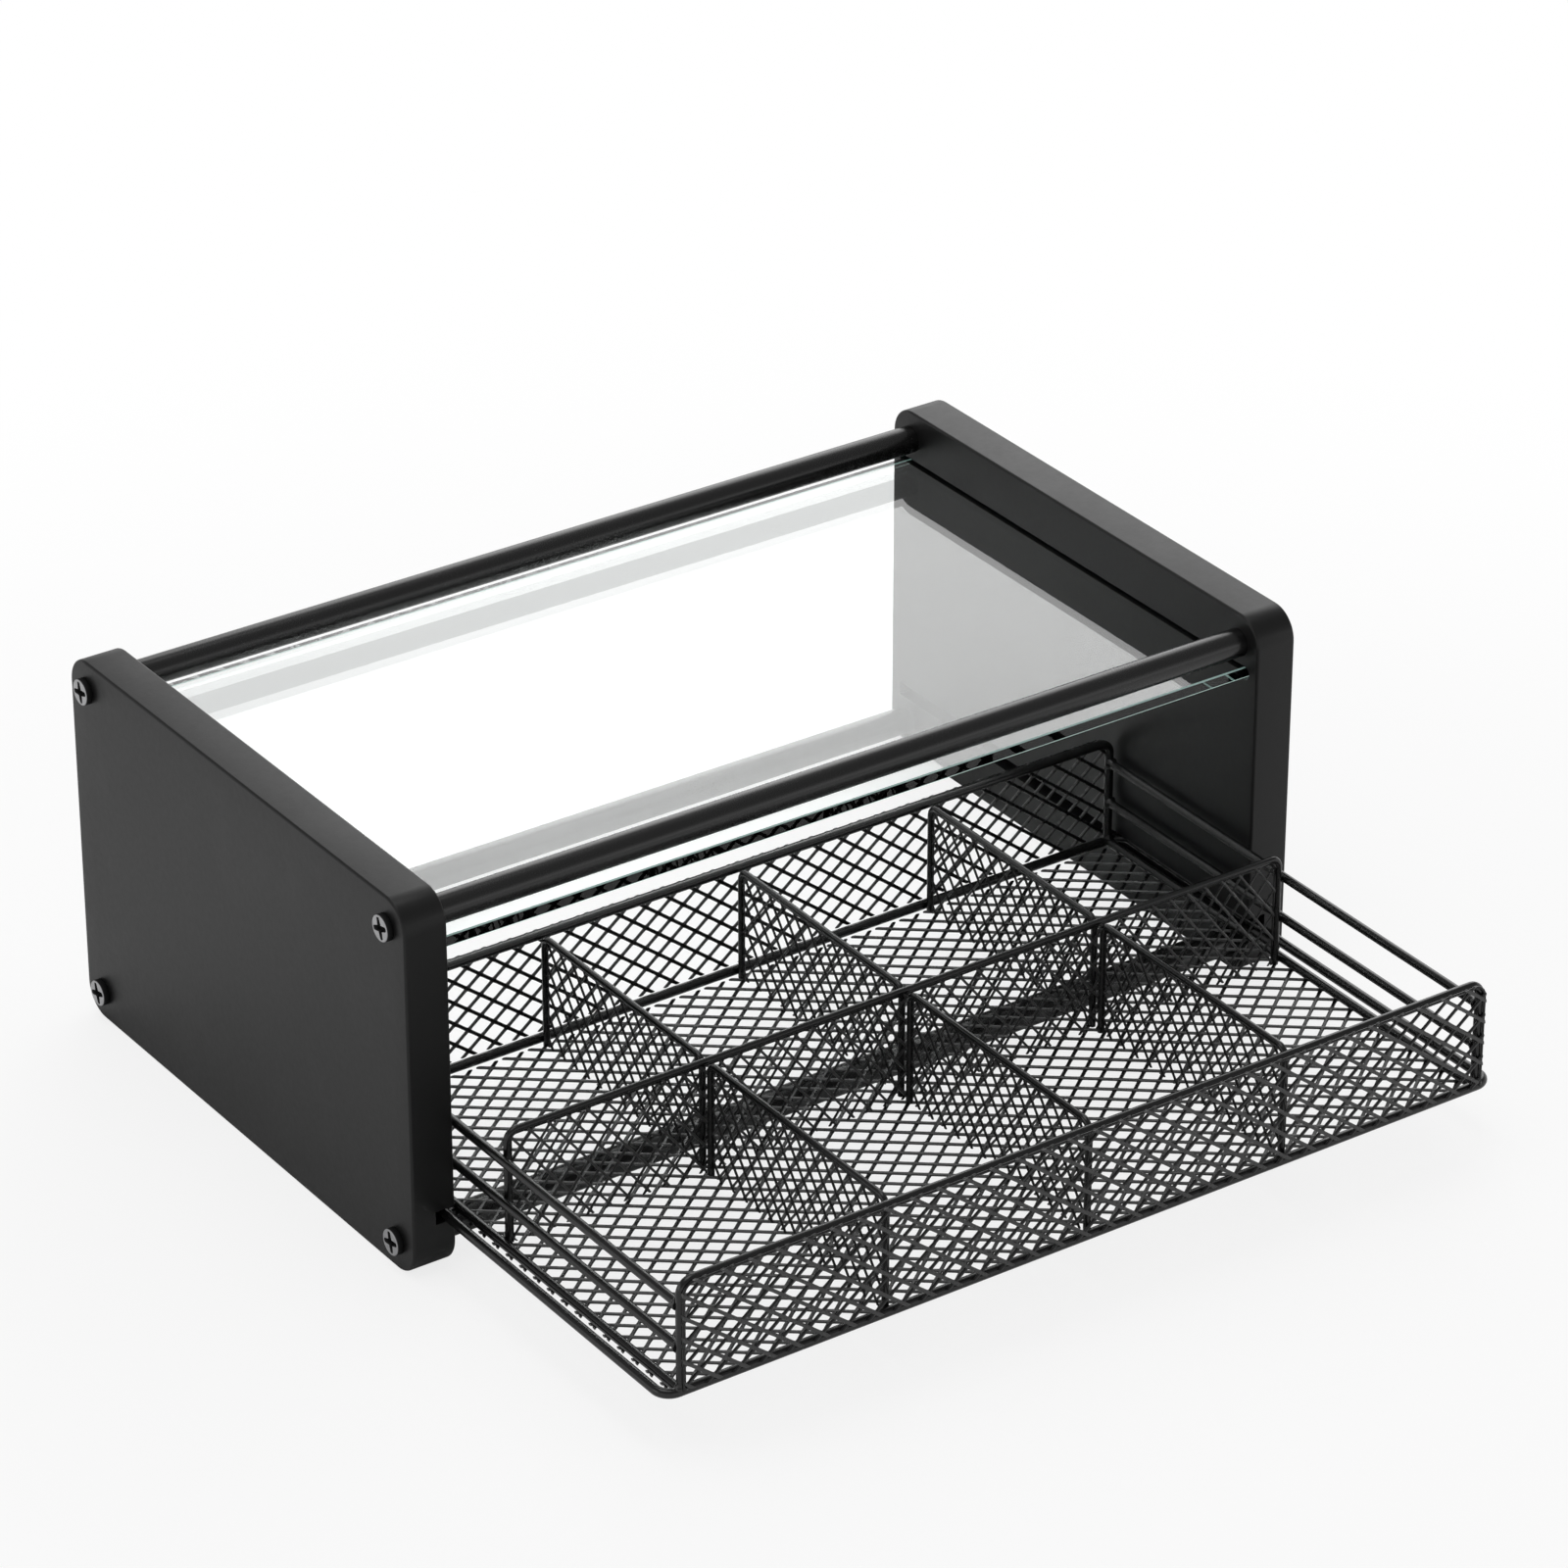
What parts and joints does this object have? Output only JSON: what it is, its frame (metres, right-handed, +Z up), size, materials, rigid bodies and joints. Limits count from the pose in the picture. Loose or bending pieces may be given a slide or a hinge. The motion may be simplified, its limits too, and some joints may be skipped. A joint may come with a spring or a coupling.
{
  "type": "tea bag drawer box",
  "caption": "Tabletop tea bag box: two black side panels joined by tubes, a glass shelf on top and a sliding drawer of wire and expanded mesh, divided into compartments.",
  "frame": {"origin": "on the table surface, under the middle of the whole box with the drawer as it stands in the picture", "axes": "+Z up, +X to the right seen from the front, +Y to the back; the drawer opens towards -Y"},
  "size_m": [0.3388, 0.321, 0.13],
  "materials": {
    "board_black": "satin black paint on board",
    "tube_black": "satin black powder coat",
    "wire_black": "semi-gloss black powder coat",
    "mesh_black": "semi-gloss black powder coat",
    "screw_steel": "plated, slightly dull",
    "insert_steel": "plain turned",
    "shelf_glass": "clear, ground edges"
  },
  "bodies": {
    "cabinet": {"side_panel_left": "board_black", "side_panel_right": "board_black", "tube_top_front": "tube_black", "tube_top_rear": "tube_black", "tube_bottom_front": "tube_black", "tube_bottom_rear": "tube_black", "tube_plugs_left": "insert_steel", "tube_plugs_right": "insert_steel", "screws_left": "screw_steel", "screws_right": "screw_steel", "glass_shelf": "shelf_glass"},
    "drawer": {"cross_divider_frame": "wire_black", "cross_divider_mesh": "mesh_black", "floor_mesh": "mesh_black", "front_divider_1_frame": "wire_black", "front_divider_1_mesh": "mesh_black", "front_divider_2_frame": "wire_black", "front_divider_2_mesh": "mesh_black", "front_divider_3_frame": "wire_black", "front_divider_3_mesh": "mesh_black", "front_hoop": "wire_black", "front_mesh": "mesh_black", "rear_divider_1_frame": "wire_black", "rear_divider_1_mesh": "mesh_black", "rear_divider_2_frame": "wire_black", "rear_divider_2_mesh": "mesh_black", "rear_divider_3_frame": "wire_black", "rear_divider_3_mesh": "mesh_black", "rear_hoop": "wire_black", "rear_mesh": "mesh_black", "runner_loop": "wire_black", "side_rail_left_bottom": "wire_black", "side_rail_left_middle": "wire_black", "side_rail_left_top": "wire_black", "side_rail_right_bottom": "wire_black", "side_rail_right_middle": "wire_black", "side_rail_right_top": "wire_black"}
  },
  "joints": [
    {"name": "drawer_slide", "type": "slide", "parent": "cabinet", "child": "drawer", "axis": [0, -1, 0], "range_m": [-0.121, 0.034]}
  ]
}
